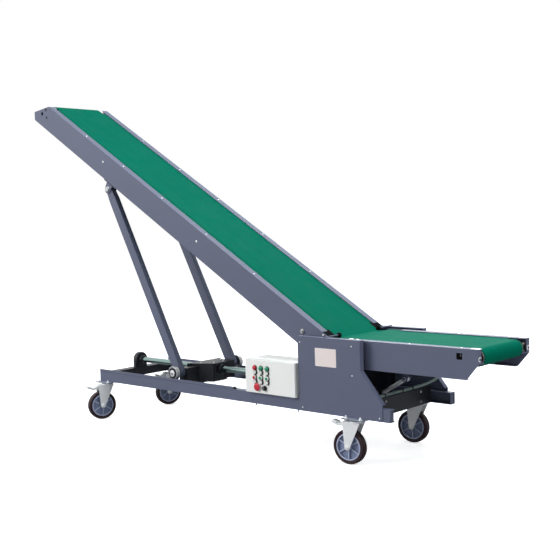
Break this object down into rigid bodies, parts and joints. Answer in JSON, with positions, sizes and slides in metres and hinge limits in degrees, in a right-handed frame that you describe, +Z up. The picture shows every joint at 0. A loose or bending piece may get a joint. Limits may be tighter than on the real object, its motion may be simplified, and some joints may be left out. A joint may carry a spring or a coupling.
{
  "type": "mobile climbing belt conveyor",
  "caption": "Mobile incline belt conveyor on four swivel casters: raised boom with a green belt, level infeed, screw-driven lift linkage and a side control box.",
  "frame": {"origin": "on the floor, under the middle of the machine's overall box", "axes": "+X runs towards the low infeed end, -Y is the side with the control box, +Z is up"},
  "size_m": [3.7268, 0.8386, 2.2606],
  "materials": {
    "slate_paint": "satin slate powder coat",
    "black_paint": "satin black",
    "belt_pvc": "matt PVC belt",
    "chrome": "ground and chromed",
    "steel": "turned, bright",
    "zinc": "zinc plated",
    "enamel": "off-white enamel",
    "core_plastic": "moulded",
    "tread": "cast polyurethane"
  },
  "bodies": {
    "chassis": {"rail_near": "slate_paint", "rail_far": "slate_paint", "end_beam": "black_paint", "motor_beam": "black_paint", "tilt_beam": "black_paint", "front_beam": "black_paint", "screw_bearing": "black_paint", "lift_screw": "chrome", "lift_motor": "black_paint", "cheek_near": "slate_paint", "cheek_far": "slate_paint", "knee_shaft": "steel", "knee_belt": "belt_pvc", "control_box": "enamel", "cable_conduit": "zinc", "caster_plate_near_left": "zinc", "caster_plate_near_right": "zinc", "caster_plate_far_left": "zinc", "caster_plate_far_right": "zinc"},
    "boom": {"boom_panel_near": "slate_paint", "boom_panel_far": "slate_paint", "boom_belt": "belt_pvc", "boom_bed": "slate_paint", "boom_tie_high": "slate_paint", "boom_tie_low": "slate_paint", "head_drum": "steel", "snub_roller_head": "steel", "return_roller_high": "steel", "return_roller_low": "steel", "strut_lug_near": "slate_paint", "strut_lug_far": "slate_paint"},
    "infeed": {"infeed_panel_near": "slate_paint", "infeed_panel_far": "slate_paint", "infeed_belt": "belt_pvc", "infeed_bed": "slate_paint", "infeed_tie": "slate_paint", "tail_drum": "steel", "snub_roller_tail": "steel"},
    "carriage": {"carriage_beam": "black_paint", "carriage_roller_near": "steel", "carriage_roller_far": "steel", "screw_nut": "black_paint"},
    "struts": {"strut_near": "slate_paint", "strut_far": "slate_paint"},
    "tilt_cylinder_body": {"tilt_cylinder": "black_paint"},
    "tilt_rod_body": {"tilt_rod": "chrome"},
    "control_door_body": {"control_door": "enamel"},
    "fork_near_left": {"caster_fork_near_left": "zinc"},
    "wheel_near_left": {"caster_core_near_left": "core_plastic", "caster_tyre_near_left": "tread"},
    "fork_near_right": {"caster_fork_near_right": "zinc"},
    "wheel_near_right": {"caster_core_near_right": "core_plastic", "caster_tyre_near_right": "tread"},
    "fork_far_left": {"caster_fork_far_left": "zinc"},
    "wheel_far_left": {"caster_core_far_left": "core_plastic", "caster_tyre_far_left": "tread"},
    "fork_far_right": {"caster_fork_far_right": "zinc"},
    "wheel_far_right": {"caster_core_far_right": "core_plastic", "caster_tyre_far_right": "tread"}
  },
  "joints": [
    {"name": "boom_lift", "type": "hinge", "parent": "chassis", "child": "boom", "pos_m": [0.88545, 0.04989, 0.6], "axis": [0, 1, 0], "range_deg": [-8, 1]},
    {"name": "carriage_slide", "type": "slide", "parent": "chassis", "child": "carriage", "axis": [1, 0, 0], "range_m": [-0.04, 0.27]},
    {"name": "strut_fold", "type": "hinge", "parent": "carriage", "child": "struts", "pos_m": [-0.38455, 0.04989, 0.3813], "axis": [0, 1, 0], "range_deg": [-21, 4]},
    {"name": "infeed_tilt", "type": "hinge", "parent": "chassis", "child": "infeed", "pos_m": [0.88545, 0.04989, 0.6], "axis": [0, -1, 0], "range_deg": [-4, 4]},
    {"name": "tilt_swing", "type": "hinge", "parent": "chassis", "child": "tilt_cylinder_body", "pos_m": [0.97545, 0.04989, 0.288], "axis": [0, -1, 0], "range_deg": [-4, 4]},
    {"name": "tilt_stroke", "type": "slide", "parent": "tilt_cylinder_body", "child": "tilt_rod_body", "axis": [0.8572, 0, 0.515], "range_m": [-0.03, 0.03]},
    {"name": "door_hinge", "type": "hinge", "parent": "chassis", "child": "control_door_body", "pos_m": [0.32145, -0.28611, 0.437], "axis": [0, 0, -1], "range_deg": [0, 105]},
    {"name": "swivel_near_left", "type": "hinge", "parent": "chassis", "child": "fork_near_left", "pos_m": [-1.08055, -0.26611, 0.25], "axis": [0, 0, 1], "continuous": true},
    {"name": "roll_near_left", "type": "hinge", "parent": "fork_near_left", "child": "wheel_near_left", "pos_m": [-1.09697, -0.31122, 0.1], "axis": [-0.9397, 0.342, 0], "continuous": true},
    {"name": "swivel_near_right", "type": "hinge", "parent": "chassis", "child": "fork_near_right", "pos_m": [1.12845, -0.26611, 0.25], "axis": [0, 0, 1], "continuous": true},
    {"name": "roll_near_right", "type": "hinge", "parent": "fork_near_right", "child": "wheel_near_right", "pos_m": [1.08071, -0.27113, 0.1], "axis": [-0.1045, 0.9945, 0], "continuous": true},
    {"name": "swivel_far_left", "type": "hinge", "parent": "chassis", "child": "fork_far_left", "pos_m": [-1.08055, 0.36589, 0.25], "axis": [0, 0, 1], "continuous": true},
    {"name": "roll_far_left", "type": "hinge", "parent": "fork_far_left", "child": "wheel_far_left", "pos_m": [-1.09697, 0.32078, 0.1], "axis": [-0.9397, 0.342, 0], "continuous": true},
    {"name": "swivel_far_right", "type": "hinge", "parent": "chassis", "child": "fork_far_right", "pos_m": [1.12845, 0.36589, 0.25], "axis": [0, 0, 1], "continuous": true},
    {"name": "roll_far_right", "type": "hinge", "parent": "fork_far_right", "child": "wheel_far_right", "pos_m": [1.08071, 0.36087, 0.1], "axis": [-0.1045, 0.9945, 0], "continuous": true}
  ],
  "couplings": [
    {"joint": "carriage_slide", "follows": "boom_lift", "m_per_rad": -1.8382},
    {"joint": "strut_fold", "follows": "boom_lift", "ratio": 2.4423},
    {"joint": "tilt_swing", "follows": "infeed_tilt", "ratio": 0.73276},
    {"joint": "tilt_stroke", "follows": "infeed_tilt", "m_per_rad": 0.31382}
  ]
}
